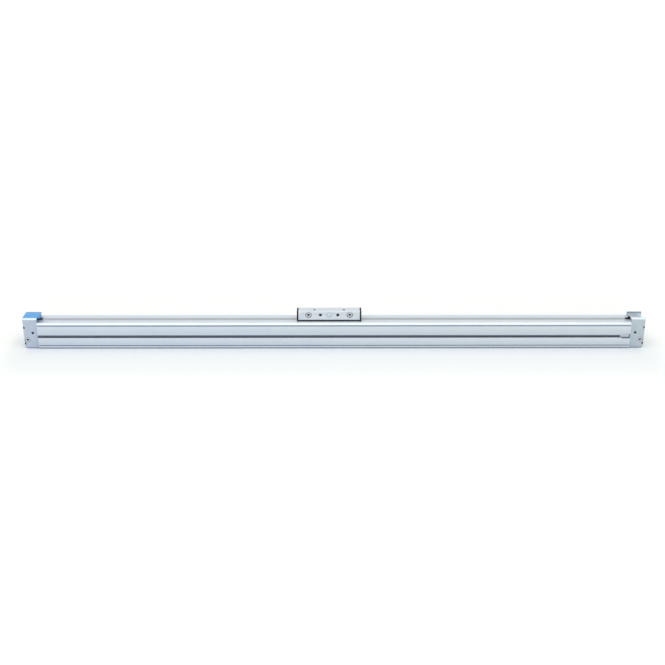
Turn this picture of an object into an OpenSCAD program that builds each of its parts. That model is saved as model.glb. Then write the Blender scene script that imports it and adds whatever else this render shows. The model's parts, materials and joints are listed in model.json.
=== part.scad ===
// Rodless pneumatic cylinder, band type, with a plain driver carriage.
// X runs along the barrel, Y from front to back, Z up from the floor.

/* [View] */
// Piece to show, or all of them

/* [Travel] */
// Working stroke of the carriage
stroke = 900; // [100:50:2000]
// Place of the carriage at rest, from mid stroke
rest_x = -8.5; // [-200:0.5:200]

/* [Barrel profile] */
// Depth of the profile, front to back
profile_w = 42; // [40:0.5:60]
// Height of the profile
profile_h = 47.5; // [46:0.5:60]
// Chamfer along the two top edges
top_chamfer = 3; // [1:0.25:4]
// Chamfer along the two bottom edges
low_chamfer = 1.8; // [0.5:0.1:3]
// Bore diameter
bore_d = 25; // [20:0.5:26]
// Height of the bore axis over the profile underside
bore_h = 23; // [20:0.5:26]
// Width of the slot that the yoke neck runs in
neck_slot_w = 6; // [4:0.25:8]
// Height of the sensor slot axis over the profile underside
sensor_h = 22.3; // [16:0.1:28]
// Mouth of the sensor slot
sensor_mouth = 5.2; // [4.5:0.1:6]
// Inner height of the sensor slot
sensor_inner = 9; // [7:0.25:10]
// Thickness of the sensor slot lips
sensor_lip = 1.6; // [1:0.1:2.5]
// Whole depth of the sensor slot
sensor_depth = 5.6; // [5:0.1:6]
// Length of the sensor insertion gap at the right end
insert_l = 17; // [10:0.5:40]
// Height of the upper clamping groove over the underside
upper_groove_h = 42.6; // [40:0.1:44]
// Height of the lower clamping groove over the underside
lower_groove_h = 5.1; // [4:0.1:8]
// Height of the upper clamping groove
upper_groove_w = 2.2; // [1:0.1:3]
// Height of the lower clamping groove
lower_groove_w = 1.6; // [0.8:0.1:2.5]
// Depth of the clamping grooves
groove_depth = 1.6; // [0.5:0.1:2]
// Width of the relief along the underside
relief_w = 18; // [10:1:26]
// Depth of the relief along the underside
relief_depth = 0.8; // [0.4:0.1:1.5]

/* [Bands] */
// Width of the outer cover band
outer_band_w = 9; // [8:0.25:10]
// Thickness of the outer cover band
outer_band_t = 0.6; // [0.4:0.1:1]
// Width of the inner seal band
inner_band_w = 8.4; // [7.5:0.1:9.5]
// Thickness of the inner seal band
inner_band_t = 0.6; // [0.4:0.1:1]
// Drop of the inner band under the yoke neck
inner_drop = 5.4; // [5:0.1:7]
// Grip of the inner band in each end cap
inner_grip = 8; // [4:0.5:12]
// Grip of the outer band in each end cap
outer_grip = 18; // [12:0.5:22]

/* [End caps] */
// Length of an end cap
cap_l = 25.5; // [22:0.5:35]
// Depth of an end cap, front to back
cap_w = 36; // [34:0.5:42]
// Rise of a cap over the top of the profile
cap_rise = 8; // [7:0.5:14]
// Drop of the caps below the profile
cap_drop = 1; // [0.4:0.1:2]
// Chamfer along the top edges of a cap
cap_chamfer = 2.2; // [1:0.1:3]
// Radius of the lower outer corner of a cap
cap_foot_r = 6.5; // [3:0.5:9]
// Radius of the outer vertical edges of a cap
cap_edge_r = 2.2; // [1:0.1:3]
// Width of the channel along the top of a cap
channel_w = 28; // [26:0.5:30]
// Height of the snap groove in the channel walls
snap_h = 2.2; // [1:0.1:2.5]
// Depth of the snap groove in the channel walls
snap_depth = 1.3; // [0.5:0.1:1.5]
// Height from the snap groove to the top of the cap
snap_down = 1; // [0.8:0.1:3]
// Length of the register that enters the bore
register_l = 5.2; // [4:0.1:8]
// Cord of the seal ring on the register
ring_cord = 1.7; // [1:0.1:2]
// Land in front of the seal ring on the register
ring_land = 1.2; // [0.8:0.1:2]
// Supply port diameter
port_d = 8.8; // [6:0.1:10]
// Depth of the supply port
port_depth = 11; // [8:0.5:16]
// Side port diameter
side_port_d = 7.4; // [6:0.1:8]
// Depth of a side port
side_port_depth = 6; // [4:0.5:8]
// Side port axis from the outer end
side_port_in = 6.6; // [6.4:0.1:10]
// Side port axis over the floor
side_port_z = 16; // [15.8:0.1:18]
// Bevel around the mouth of a side port
side_port_bevel = 0.6; // [0.3:0.1:0.8]
// Socket size of the side port plugs
plug_socket = 4; // [3:0.5:5]
// Socket depth of the side port plugs
plug_socket_depth = 4.4; // [2:0.2:5]
// Hole diameter for the cushion screw
needle_d = 4.2; // [3.5:0.1:5]
// Depth of the cushion screw hole
needle_depth = 9; // [7:0.5:11]
// Cushion screw axis from the outer end
needle_in = 16.8; // [16:0.1:19]
// Cushion screw axis over the bore axis
needle_up = 5.4; // [3:0.1:8]
// Recess of the cushion screw below the face
needle_recess = 2.2; // [0.3:0.1:3]
// Room behind the cushion screw
needle_room = 1; // [0.5:0.1:2]
// Foot hole diameter under a cap
foot_hole_d = 4.2; // [3:0.1:5]
// Foot hole spacing, front to back
foot_pitch = 18; // [14:0.5:19]
// Foot hole depth
foot_hole_depth = 7; // [5:0.5:9]

/* [Cap screws] */
// Cap screw thread diameter
cap_screw_d = 4; // [3:0.1:5]
// Cap screw head diameter
cap_head_d = 7; // [6:0.1:8]
// Cap screw head length
cap_head_l = 2.8; // [2.5:0.1:3.2]
// Recess of the cap screw heads below the end face
cap_head_recess = 0.4; // [0.1:0.1:0.6]
// Counterbore diameter for the cap screws
cap_counter_d = 9; // [8.4:0.1:9.6]
// Cap screw spacing, front to back
cap_pitch_y = 28; // [27:0.5:29]
// Cap screw spacing, up and down
cap_pitch_z = 30; // [29:0.5:31]
// Thread length of the cap screws in the profile
cap_thread_l = 14; // [8:1:20]
// Socket size of the cap screws
cap_socket = 3; // [2:0.5:4]

/* [Band clamps] */
// Length of a band clamp in the cap
clamp_l = 20; // [16:0.5:23]
// Depth of a band clamp, front to back
clamp_w = 25; // [20:0.5:26]
// Height of a band clamp over the band
clamp_h = 2; // [1.5:0.1:2.4]
// Reach of the guide tongue over the barrel
tongue_l = 6.8; // [4:0.1:12]
// Depth of the guide tongue, front to back
tongue_w = 5; // [3:0.5:6]
// Thickness of the guide tongue
tongue_t = 1.2; // [0.8:0.1:1.4]
// Length of the guide tongue under the clamp
tongue_grip = 6; // [4:0.5:8]
// Depth of the guide block, front to back
block_w = 6; // [5:0.5:8]
// Reach of the guide block over the barrel
block_out = 1.8; // [1:0.1:3]
// Length of the guide block in the cap
block_in = 2; // [1:0.1:3]
// Rise of the guide block over the clamp
block_rise = 1.4; // [0.5:0.1:2]
// Clamp screw spacing, front to back
clamp_pitch = 17; // [16:0.5:18]
// Clamp screw thread diameter
clamp_screw_d = 2.5; // [2:0.1:3]
// Clamp screw head diameter
clamp_head_d = 4.6; // [4:0.1:5]
// Clamp screw head height
clamp_head_h = 1.4; // [1:0.1:1.6]
// Clamp screw thread length in the cap
clamp_thread_l = 5; // [3:0.5:6]

/* [Band cover] */
// Wall of the band cover
cover_wall = 1.8; // [1.2:0.1:2]
// Reach of the band cover over the barrel
cover_reach = 2.1; // [1.9:0.1:4]
// Depth of the cover's inner end wall, front to back
cover_wall_w = 12; // [10:0.5:24]
// Width of the release notch in the cover
release_w = 4.5; // [2:0.5:6]
// Depth of the release notch in the cover
release_depth = 1.4; // [0.5:0.1:1.6]

/* [Cushion] */
// Cushion spigot diameter
spigot_d = 8; // [6:0.5:9]
// Cushion spigot length past the register
spigot_l = 16; // [10:0.5:20]
// Air way through the cushion spigot
airway_d = 4.6; // [3:0.2:5]
// Flange diameter of the cushion spigot
spigot_flange_d = 13; // [12:0.5:16]
// Flange thickness of the cushion spigot
spigot_flange_t = 2; // [1:0.5:3]
// Room past the end of a spigot in its piston
spigot_room = 1; // [0.5:0.1:2]
// Bumper thickness
bumper_t = 2; // [1:0.5:4]
// Bumper outer diameter
bumper_d = 22; // [18:0.5:24]

/* [Pistons] */
// Piston length
piston_l = 21; // [19:0.5:28]
// Width of the lip seal groove
lip_groove_l = 4; // [3:0.25:5]
// Depth of the lip seal groove
lip_groove_t = 2.4; // [1.5:0.1:3]
// Width of the magnet groove
magnet_groove_l = 4; // [3:0.25:6]
// Depth of the magnet groove
magnet_groove_t = 2.4; // [1.5:0.1:3]
// Width of the guide ring groove
guide_groove_l = 4; // [3:0.25:6]
// Depth of the guide ring groove
guide_groove_t = 1.4; // [1:0.1:2]
// Land between two grooves
land_l = 2; // [1.5:0.25:3]
// Cushion seal diameter
cushion_seal_d = 13; // [12:0.5:14]
// Cushion seal thickness
cushion_seal_t = 2.4; // [2:0.1:4]

/* [Yoke] */
// Neck length along the barrel
neck_l = 44; // [30:1:50]
// Tunnel length for the inner band
tunnel_l = 48; // [44:1:52]
// Ramp length of the inner band on each side
inner_ramp_l = 18; // [14:0.5:20]
// Level run of the inner band past each end of the tunnel
tunnel_margin = 0.5; // [0.2:0.1:2]
// Length of the core past each ramp
core_margin = 4; // [3:0.5:8]
// Flange length over the barrel
flange_l = 88; // [86:1:92]
// Flange thickness
flange_t = 2.3; // [2:0.1:3]
// Yoke stud diameter in a piston
stud_d = 12; // [8:0.5:14]
// Yoke stud length in a piston
stud_l = 4; // [3:0.5:5]
// Lug length along the barrel
lug_l = 13; // [12:0.5:15]
// Lug thickness
lug_t = 2.4; // [2:0.1:2.6]

/* [Carriage] */
// Length of the carriage body
carriage_l = 108.4; // [106:0.2:120]
// Depth of the carriage body, front to back
carriage_w = 21.3; // [20.8:0.1:24]
// Height of the carriage body
carriage_h = 15.6; // [15:0.1:18]
// Small chamfer around the carriage body
carriage_chamfer = 0.6; // [0.3:0.1:1]
// Height of the slide strips
strip_h = 1.7; // [1.4:0.1:2.2]
// Depth of a slide strip, front to back
strip_w = 2.8; // [2:0.1:2.8]
// Thickness of an end wiper
wiper_t = 2.8; // [2:0.1:4]
// Thickness of the carriage top over the band channel
roof_t = 9.5; // [8:0.1:10]
// Thickness of the carriage top over the lugs
lug_roof_t = 2; // [1.5:0.1:3]
// Ramp length of the outer band on each side
outer_ramp_l = 8.5; // [7:0.5:9]
// Side screw spacing
side_pitch = 73; // [70:0.5:76]
// Side screw axis over the carriage body underside
side_h = 9.7; // [8.5:0.1:10]
// Side screw head diameter
side_head_d = 9.4; // [8:0.1:11]
// Room around the head of a side screw
side_head_room = 0.8; // [0.3:0.1:1]
// Side screw head thickness
side_head_t = 1.5; // [1:0.1:2]
// Side screw thread diameter
side_screw_d = 5; // [4:0.1:6]
// Socket size of the side screws
side_socket = 4; // [3:0.5:5]
// Side mounting hole diameter
side_hole_d = 5.5; // [4:0.1:6]
// Side mounting hole spacing
side_hole_pitch = 30.8; // [28:0.1:34]
// Centre plug diameter
centre_plug_d = 9.2; // [7:0.1:10]
// Centre plug thickness
centre_plug_t = 2; // [1:0.1:2.5]
// Top mounting hole diameter
top_hole_d = 5; // [4:0.1:6]
// Top mounting hole spacing
top_hole_pitch = 52; // [50:0.5:54]
// Top mounting hole depth
top_hole_depth = 8; // [6:0.5:9]
// Wiper peg diameter
peg_d = 3; // [2:0.1:3.4]
// Wiper peg length
peg_l = 5; // [3:0.5:6]
// Wiper peg spacing, front to back
peg_pitch = 14; // [13:0.5:15]
// Peg height over the carriage body underside
peg_h = 9.7; // [9:0.1:11]

/* [Clearances] */
// Gap between parts that slide past each other
slide_gap = 0.3; // [0.2:0.05:0.6]
// Radial running fit
run_fit = 0.08; // [0.02:0.01:0.1]
// Radial gap between seated round parts
seat_gap = 0.05; // [0.02:0.01:0.1]
// Room around a band in a channel
band_room = 0.5; // [0.3:0.05:0.8]

/* [Hidden] */
$fn = 48;

// cutting tools overshoot by this much
cut_over = 1;

// heights over the floor
profile_z = cap_drop;
bore_z = profile_z + bore_h;
sensor_z = profile_z + sensor_h;
top_z = profile_z + profile_h;
bore_r = bore_d / 2;
cap_h = top_z + cap_rise;

// bands at their seats
outer_seat_z = top_z - outer_band_t;
inner_seat_top = bore_z + bore_r + inner_band_t;
inner_slot_w = inner_band_w + 2 * slide_gap;
outer_slot_w = outer_band_w + 2 * slide_gap;

// pistons and yoke, measured from the carriage centre
yoke_r = bore_r - band_room - slide_gap;
piston_r = bore_r - 2 * slide_gap;
run_r = bore_r - run_fit;
end_gap = slide_gap;
core_half = tunnel_l / 2 + inner_ramp_l + core_margin;
piston_half = core_half + piston_l;

// barrel ends, so that the pistons stop just short of the bumpers
face_x = stroke / 2 + piston_half + end_gap + bumper_t + register_l;
end_x = face_x + cap_l;
profile_l = 2 * face_x;

// grooves on a piston, from its outer end
lip_at = land_l;
magnet_at = lip_at + lip_groove_l + land_l;
guide_at = magnet_at + magnet_groove_l + land_l;
socket_l = spigot_l - bumper_t + spigot_room;

// inner band under the yoke
inner_low_top = inner_seat_top - inner_drop;
inner_flat = tunnel_l / 2 + tunnel_margin;

// carriage heights
flange_z = top_z + slide_gap;
flange_top = flange_z + flange_t;
body_z = flange_z + strip_h;
body_top = body_z + carriage_h;
outer_high_z = flange_top + slide_gap;
outer_flat = flange_l / 2 + slide_gap;
band_roof_z = body_top - roof_t;
lug_top = body_top - lug_roof_t;
channel_half = outer_band_w / 2 + band_room;
lug_out = channel_half + lug_t;
side_z = body_z + side_h;
wall_t = carriage_w / 2 - lug_out;
lug_x = side_pitch / 2;
head_seat = side_head_t + seat_gap;

// end cap heights and places
floor_z = outer_seat_z;
snap_z = cap_h - snap_down - snap_h;
needle_z = bore_z + needle_up;
needle_r = needle_d / 2 - seat_gap;
clamp_top = top_z + clamp_h;
clamp_x = face_x + block_in + seat_gap;
clamp_mid_x = face_x + clamp_l / 2;
block_top = clamp_top + block_rise;
cover_low = clamp_top + slide_gap;
cap_counter_l = cap_head_l + cap_head_recess + seat_gap;
ring_groove_l = ring_cord + 2 * slide_gap;
ring_groove_at = register_l - ring_groove_l - ring_land;
ring_mid_r = bore_r - seat_gap - ring_cord / 2;
cap_r = cap_w / 2;
thread_seat = seat_gap;

function ease(t) = (1 - cos(180 * t)) / 2;
STEPS = 10;

// centre line of a band: level z0 far out, level z1 between -flat and flat
function band_line(half_l, z0, z1, flat, ramp, mid) = concat(
  [[-half_l, z0]],
  [for (i = [0 : STEPS]) [mid - flat - ramp * (1 - i / STEPS), z0 + (z1 - z0) * ease(i / STEPS)]],
  [for (i = [0 : STEPS]) [mid + flat + ramp * i / STEPS, z1 + (z0 - z1) * ease(i / STEPS)]],
  [[half_l, z0]]);
function flipped(p) = [for (i = [len(p) - 1 : -1 : 0]) p[i]];
function raised(p, dz) = [for (q = p) [q[0], q[1] + dz]];

// colours
module aluminium() { color([0.80, 0.82, 0.85]) children(); }
module steel() { color([0.62, 0.63, 0.65]) children(); }
module black_plastic() { color([0.06, 0.06, 0.07]) children(); }
module blue_plastic() { color([0.40, 0.66, 0.86]) children(); }

// shape drawn in X and Z, given depth w about the middle plane
module across(w) {
  translate([0, w / 2, 0]) rotate([90, 0, 0]) linear_extrude(w) children();
}
// shape drawn in Y and Z, run along X from x0 over length l
module along(x0, l) {
  translate([x0, 0, 0]) rotate([90, 0, 90]) linear_extrude(l) children();
}
// round bar along X
module bar_x(d, x0, x1) {
  translate([x0, 0, 0]) rotate([0, 90, 0]) cylinder(d = d, h = x1 - x0);
}
// ring along X
module ring_x(d_out, d_in, x0, x1) {
  difference() {
    bar_x(d_out, x0, x1);
    bar_x(d_in, x0 - cut_over, x1 + cut_over);
  }
}
// round bar pointing at -Y from depth y0, of length l
module bar_front(d, y0, l) {
  translate([0, y0, 0]) rotate([90, 0, 0]) cylinder(d = d, h = l);
}
// hex socket cut pointing at -Y, its mouth at depth y0
module socket_front(af, y0, depth) {
  translate([0, y0 + depth, 0]) rotate([90, 0, 0])
    cylinder(d = af / cos(30), h = depth + cut_over, $fn = 6);
}
// both sides, front and back
module both_sides() {
  children();
  mirror([0, 1, 0]) children();
}
// piece modelled for the right end, placed there or mirrored to the left end
module at_end(side) {
  if (side > 0) children();
  else mirror([1, 0, 0]) children();
}
// piece modelled about the carriage centre
module on_carriage() {
  translate([rest_x, 0, 0]) children();
}

// ---- barrel ----

module side_slot(mouth) {
  r = profile_w / 2;
  translate([r - sensor_lip - cut_over / 2, sensor_h - mouth / 2])
    square([sensor_lip + cut_over, mouth]);
  translate([r - sensor_depth, sensor_h - sensor_inner / 2])
    square([sensor_depth - sensor_lip, sensor_inner]);
}

module side_groove(h, w) {
  translate([profile_w / 2 - groove_depth, h - w / 2])
    square([groove_depth + cut_over, w]);
}

module profile_outline() {
  r = profile_w / 2;
  polygon([[-r + low_chamfer, 0], [r - low_chamfer, 0], [r, low_chamfer],
    [r, profile_h - top_chamfer], [r - top_chamfer, profile_h],
    [-r + top_chamfer, profile_h], [-r, profile_h - top_chamfer], [-r, low_chamfer]]);
}

module profile_section() {
  difference() {
    profile_outline();
    // bore, with the seat of the inner band and the neck slot
    translate([0, bore_h]) circle(d = bore_d, $fn = 96);
    translate([-inner_slot_w / 2, bore_h])
      square([inner_slot_w, bore_r + inner_band_t]);
    translate([-neck_slot_w / 2, bore_h])
      square([neck_slot_w, profile_h]);
    // seat of the outer band
    translate([-outer_slot_w / 2, profile_h - outer_band_t])
      square([outer_slot_w, outer_band_t + cut_over]);
    // sensor slots, clamping grooves and relief
    for (m = [0, 1]) mirror([m, 0]) {
      side_slot(sensor_mouth);
      side_groove(upper_groove_h, upper_groove_w);
      side_groove(lower_groove_h, lower_groove_w);
      for (s = [-1, 1]) translate([cap_pitch_y / 2, bore_h + s * cap_pitch_z / 2])
        circle(d = cap_screw_d + 2 * thread_seat);
    }
    translate([-relief_w / 2, -cut_over])
      square([relief_w, relief_depth + cut_over]);
  }
}

module insertion_outline() {
  r = sensor_inner / 2;
  translate([face_x - insert_l + r, 0]) circle(r = r);
  translate([face_x - insert_l + r, -r]) square([insert_l - r + cut_over, 2 * r]);
}

module profile_barrel() {
  aluminium() difference() {
    translate([0, 0, profile_z]) along(-face_x, profile_l) profile_section();
    // sensor insertion gap, round at its inner end, in the lips beside the right cap
    both_sides() translate([0, profile_w / 2 + cut_over / 2, sensor_z]) rotate([90, 0, 0])
      linear_extrude(sensor_lip + cut_over) insertion_outline();
  }
}

module band_strip(line, w, t) {
  across(w) polygon(concat(line, flipped(raised(line, t))));
}

module outer_cover_band() {
  steel() band_strip(
    band_line(face_x + outer_grip, outer_seat_z, outer_high_z, outer_flat, outer_ramp_l, rest_x),
    outer_band_w, outer_band_t);
}

function inner_line(half_l, mid) = band_line(half_l, inner_seat_top - inner_band_t,
  inner_low_top - inner_band_t, inner_flat, inner_ramp_l, mid);

module inner_seal_band() {
  steel() band_strip(inner_line(face_x + inner_grip, rest_x), inner_band_w, inner_band_t);
}

// ---- end caps, drawn at the right end ----

module cap_side_outline() {
  r = cap_foot_r;
  translate([face_x, r]) square([cap_l, cap_h - r]);
  translate([face_x, 0]) square([cap_l - r, r + cut_over]);
  translate([end_x - r, r]) circle(r = r);
}

module cap_end_outline() {
  polygon([[-cap_r, 0], [cap_r, 0], [cap_r, cap_h - cap_chamfer],
    [cap_r - cap_chamfer, cap_h], [-cap_r + cap_chamfer, cap_h], [-cap_r, cap_h - cap_chamfer]]);
}

module cap_plan_outline() {
  r = cap_edge_r;
  translate([face_x, -cap_r]) square([cap_l - r, cap_w]);
  translate([face_x, -cap_r + r]) square([cap_l, cap_w - 2 * r]);
  for (s = [-1, 1]) translate([end_x - r, s * (cap_r - r)]) circle(r = r);
}

module cap_channel() {
  h = cap_h - floor_z + cut_over;
  l = cap_l + 2 * cut_over;
  translate([face_x - cut_over, -channel_w / 2, floor_z]) cube([l, channel_w, h]);
  translate([face_x - cut_over, -channel_w / 2 - snap_depth, snap_z])
    cube([l, channel_w + 2 * snap_depth, snap_h]);
}

module screw_places() {
  for (sy = [-1, 1], sz = [-1, 1])
    translate([0, sy * cap_pitch_y / 2, bore_z + sz * cap_pitch_z / 2]) children();
}

module clamp_screw_places() {
  for (s = [-1, 1])
    translate([clamp_mid_x, s * clamp_pitch / 2, 0]) children();
}

module end_cap() {
  difference() {
    union() {
      intersection() {
        across(cap_w + cut_over) cap_side_outline();
        along(face_x - cut_over, cap_l + 2 * cut_over) cap_end_outline();
        linear_extrude(cap_h) cap_plan_outline();
      }
      // register in the bore
      translate([0, 0, bore_z]) difference() {
        bar_x(bore_d - 2 * seat_gap, face_x - register_l, face_x + cut_over);
        ring_x(bore_d + cut_over, 2 * (ring_mid_r - ring_cord / 2 - seat_gap),
          face_x - ring_groove_at - ring_groove_l, face_x - ring_groove_at);
      }
    }
    cap_channel();
    // supply port, air way and seat of the cushion spigot
    translate([0, 0, bore_z]) {
      bar_x(port_d, end_x - port_depth, end_x + cut_over);
      bar_x(airway_d, face_x - register_l - cut_over, end_x);
      bar_x(spigot_flange_d + 2 * seat_gap, face_x - register_l - cut_over,
        face_x - register_l + spigot_flange_t);
    }
    // side ports and their seats
    both_sides() translate([end_x - side_port_in, 0, side_port_z]) {
      bar_front(side_port_d, -cap_r + side_port_depth, side_port_depth + cut_over);
      translate([0, -cap_r + side_port_bevel, 0]) rotate([90, 0, 0])
        cylinder(d1 = side_port_d, d2 = side_port_d + 4 * side_port_bevel, h = 2 * side_port_bevel);
    }
    // cushion screw
    translate([end_x - needle_in, 0, needle_z])
      bar_front(needle_d, -cap_r + needle_depth, needle_depth + cut_over);
    // cap screws
    screw_places() {
      bar_x(cap_screw_d + 2 * thread_seat, face_x - cut_over, end_x);
      bar_x(cap_counter_d, end_x - cap_counter_l, end_x + cut_over);
    }
    // pocket for the inner band
    translate([face_x - cut_over, -inner_slot_w / 2, inner_seat_top - inner_band_t - slide_gap])
      cube([inner_grip + slide_gap + cut_over, inner_slot_w, inner_band_t + slide_gap]);
    // clamp screws and foot holes
    clamp_screw_places() translate([0, 0, floor_z - clamp_thread_l])
      cylinder(d = clamp_screw_d + 2 * thread_seat, h = clamp_thread_l + cut_over);
    for (s = [-1, 1]) translate([face_x + cap_l / 2, s * foot_pitch / 2, -cut_over])
      cylinder(d = foot_hole_d, h = foot_hole_depth + cut_over);
  }
}

module cap_screws() {
  head_x = end_x - cap_counter_l;
  screw_places() difference() {
    union() {
      bar_x(cap_screw_d, face_x - cap_thread_l, head_x + cap_head_l / 2);
      bar_x(cap_head_d, head_x, head_x + cap_head_l);
    }
    translate([head_x + cap_head_l / 2, 0, 0]) rotate([0, 90, 0])
      cylinder(d = cap_socket / cos(30), h = cap_head_l, $fn = 6);
  }
}

module cap_seal() {
  translate([face_x - ring_groove_at - ring_groove_l / 2, 0, bore_z]) rotate([0, 90, 0])
    rotate_extrude() translate([ring_mid_r, 0]) circle(d = ring_cord, $fn = 24);
}

module bumper() {
  x1 = face_x - register_l;
  translate([0, 0, bore_z]) ring_x(bumper_d, spigot_d + 2 * slide_gap, x1 - bumper_t, x1);
}

module cushion_spigot() {
  x1 = face_x - register_l;
  translate([0, 0, bore_z]) difference() {
    union() {
      bar_x(spigot_d, x1 - spigot_l, x1 + spigot_flange_t);
      bar_x(spigot_flange_d, x1, x1 + spigot_flange_t);
    }
    bar_x(airway_d, x1 - spigot_l - cut_over, x1 + spigot_flange_t + cut_over);
  }
}

module band_clamp() {
  difference() {
    translate([clamp_x, -clamp_w / 2, floor_z])
      cube([face_x + clamp_l - clamp_x, clamp_w, clamp_top - floor_z]);
    // way of the band, and the seat of the guide tongue
    translate([face_x, -outer_slot_w / 2, floor_z - cut_over])
      cube([clamp_l + cut_over, outer_slot_w, outer_band_t + cut_over]);
    translate([face_x, -tongue_w / 2 - seat_gap, floor_z])
      cube([tongue_grip + seat_gap, tongue_w + 2 * seat_gap, outer_band_t + tongue_t + seat_gap]);
    clamp_screw_places() {
      translate([0, 0, floor_z - cut_over])
        cylinder(d = clamp_screw_d + 2 * seat_gap, h = clamp_top);
      translate([0, 0, clamp_top - clamp_head_h])
        cylinder(d = clamp_head_d + 2 * seat_gap, h = clamp_head_h + cut_over);
    }
  }
}

module band_guide() {
  union() {
    translate([face_x - tongue_l, -tongue_w / 2, top_z])
      cube([tongue_l + tongue_grip, tongue_w, tongue_t]);
    translate([face_x - block_out, -block_w / 2, top_z])
      cube([block_out + block_in, block_w, block_top - top_z]);
  }
}

module clamp_screws() {
  clamp_screw_places() difference() {
    union() {
      translate([0, 0, floor_z - clamp_thread_l])
        cylinder(d = clamp_screw_d, h = clamp_top - clamp_head_h - floor_z + clamp_thread_l + cut_over / 2);
      translate([0, 0, clamp_top - clamp_head_h])
        cylinder(d = clamp_head_d, h = clamp_head_h);
    }
    translate([0, 0, clamp_top - clamp_head_h / 2])
      cylinder(d = clamp_head_d / 2, h = clamp_head_h, $fn = 6);
  }
}

module band_cover() {
  w = channel_w;
  reach_x = face_x - cover_reach;
  roof_z = cap_h - cover_wall;
  difference() {
    union() {
      translate([reach_x, -w / 2, floor_z]) cube([cap_l + cover_reach, w, cap_h - floor_z]);
      both_sides() snap_rib();
    }
    // room over the clamp
    translate([reach_x + cover_wall, -w / 2 + cover_wall, floor_z - cut_over])
      cube([cap_l + cover_reach - 2 * cover_wall, w - 2 * cover_wall, roof_z - floor_z + cut_over]);
    translate([face_x - cut_over, -clamp_w / 2 - slide_gap, floor_z - cut_over])
      cube([clamp_l + cut_over + slide_gap, clamp_w + 2 * slide_gap, cover_low - floor_z + cut_over]);
    // mouth over the barrel: open at the foot, at both corners and around the guide
    translate([reach_x - cut_over, -w / 2 - cut_over, floor_z - cut_over])
      cube([cover_reach + cut_over, w + 2 * cut_over, cover_low - floor_z + cut_over]);
    both_sides() translate([reach_x - cut_over, cover_wall_w / 2, floor_z - cut_over])
      cube([cover_reach + cut_over, w, roof_z - floor_z + cut_over]);
    translate([reach_x - cut_over, -block_w / 2 - slide_gap, floor_z - cut_over])
      cube([cover_reach + cut_over, block_w + 2 * slide_gap, block_top + slide_gap - floor_z + cut_over]);
    // release notches
    both_sides() translate([end_x - cap_l / 2 - release_w / 2, -w / 2 - cut_over, snap_z])
      cube([release_w, release_depth + cut_over, cap_h]);
  }
}

// rib on one side of the cover, in the snap groove of the channel wall
module snap_rib() {
  translate([face_x, channel_w / 2 - cover_wall, snap_z + seat_gap])
    cube([cap_l, cover_wall + snap_depth - seat_gap, snap_h - 2 * seat_gap]);
}

module port_plugs() {
  both_sides() translate([end_x - side_port_in, 0, side_port_z]) difference() {
    bar_front(side_port_d - 2 * seat_gap, -cap_r + side_port_depth, side_port_depth - seat_gap);
    socket_front(plug_socket, -cap_r, plug_socket_depth);
  }
}

module cushion_screw() {
  l = needle_depth - needle_recess - needle_room;
  translate([end_x - needle_in, 0, needle_z]) difference() {
    bar_front(2 * needle_r, -cap_r + needle_recess + l, l);
    socket_front(needle_r, -cap_r + needle_recess, l / 3);
  }
}

// ---- carriage, drawn about its own centre ----

module carriage_outline() {
  c = carriage_chamfer;
  r = carriage_w / 2;
  polygon([[-r + c, body_z], [r - c, body_z], [r, body_z + c], [r, body_top - c],
    [r - c, body_top], [-r + c, body_top], [-r, body_top - c], [-r, body_z + c]]);
}

module strip_rib(room) {
  w = strip_w / 3 + 2 * room;
  translate([-carriage_l / 2, carriage_w / 2 - strip_w / 2 - w / 2, body_z - cut_over / 2])
    cube([carriage_l, w, strip_h / 2 + room + cut_over / 2]);
}

module peg_places() {
  for (s = [-1, 1]) translate([0, s * peg_pitch / 2, body_z + peg_h]) children();
}

module carriage_body() {
  aluminium() on_carriage() difference() {
    along(-carriage_l / 2, carriage_l) carriage_outline();
    // pocket for the yoke flange and channel for the outer band
    translate([-carriage_l / 2 - cut_over, -lug_out - slide_gap, body_z - cut_over])
      cube([carriage_l + 2 * cut_over, 2 * (lug_out + slide_gap), outer_high_z - body_z + cut_over]);
    translate([-carriage_l / 2 - cut_over, -channel_half, body_z - cut_over])
      cube([carriage_l + 2 * cut_over, 2 * channel_half, band_roof_z - body_z + cut_over]);
    // pockets for the yoke lugs
    for (s = [-1, 1]) translate([s * lug_x - lug_l / 2 - slide_gap, -lug_out, body_z - cut_over])
      cube([lug_l + 2 * slide_gap, 2 * lug_out, lug_top - body_z + cut_over]);
    both_sides() {
      // seats and holes of the side screws
      for (s = [-1, 1]) translate([s * lug_x, 0, side_z]) {
        bar_front(side_head_d + 2 * side_head_room, -carriage_w / 2 + head_seat, side_head_t + cut_over);
        bar_front(side_screw_d + 2 * thread_seat, -lug_out + cut_over, wall_t + 2 * cut_over);
      }
      translate([0, 0, side_z])
        bar_front(centre_plug_d + 2 * seat_gap, -carriage_w / 2 + centre_plug_t, centre_plug_t + cut_over);
      strip_rib(seat_gap);
    }
    // side mounting holes, from front to back
    for (s = [-1, 1]) translate([s * side_hole_pitch / 2, 0, side_z])
      bar_front(side_hole_d, carriage_w / 2 + cut_over, carriage_w + 2 * cut_over);
    // top mounting holes
    for (s = [-1, 1]) translate([s * top_hole_pitch / 2, 0, body_top - top_hole_depth])
      cylinder(d = top_hole_d, h = top_hole_depth + cut_over);
    // holes for the wiper pegs
    peg_places() ring_pegs(peg_d + 2 * seat_gap, peg_l + slide_gap);
  }
}

module ring_pegs(d, l) {
  bar_x(d, -carriage_l / 2 - cut_over, -carriage_l / 2 + l);
  bar_x(d, carriage_l / 2 - l, carriage_l / 2 + cut_over);
}

module slide_strip() {
  union() {
    translate([-carriage_l / 2, carriage_w / 2 - strip_w, flange_z])
      cube([carriage_l, strip_w, strip_h]);
    strip_rib(0);
  }
}

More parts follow.
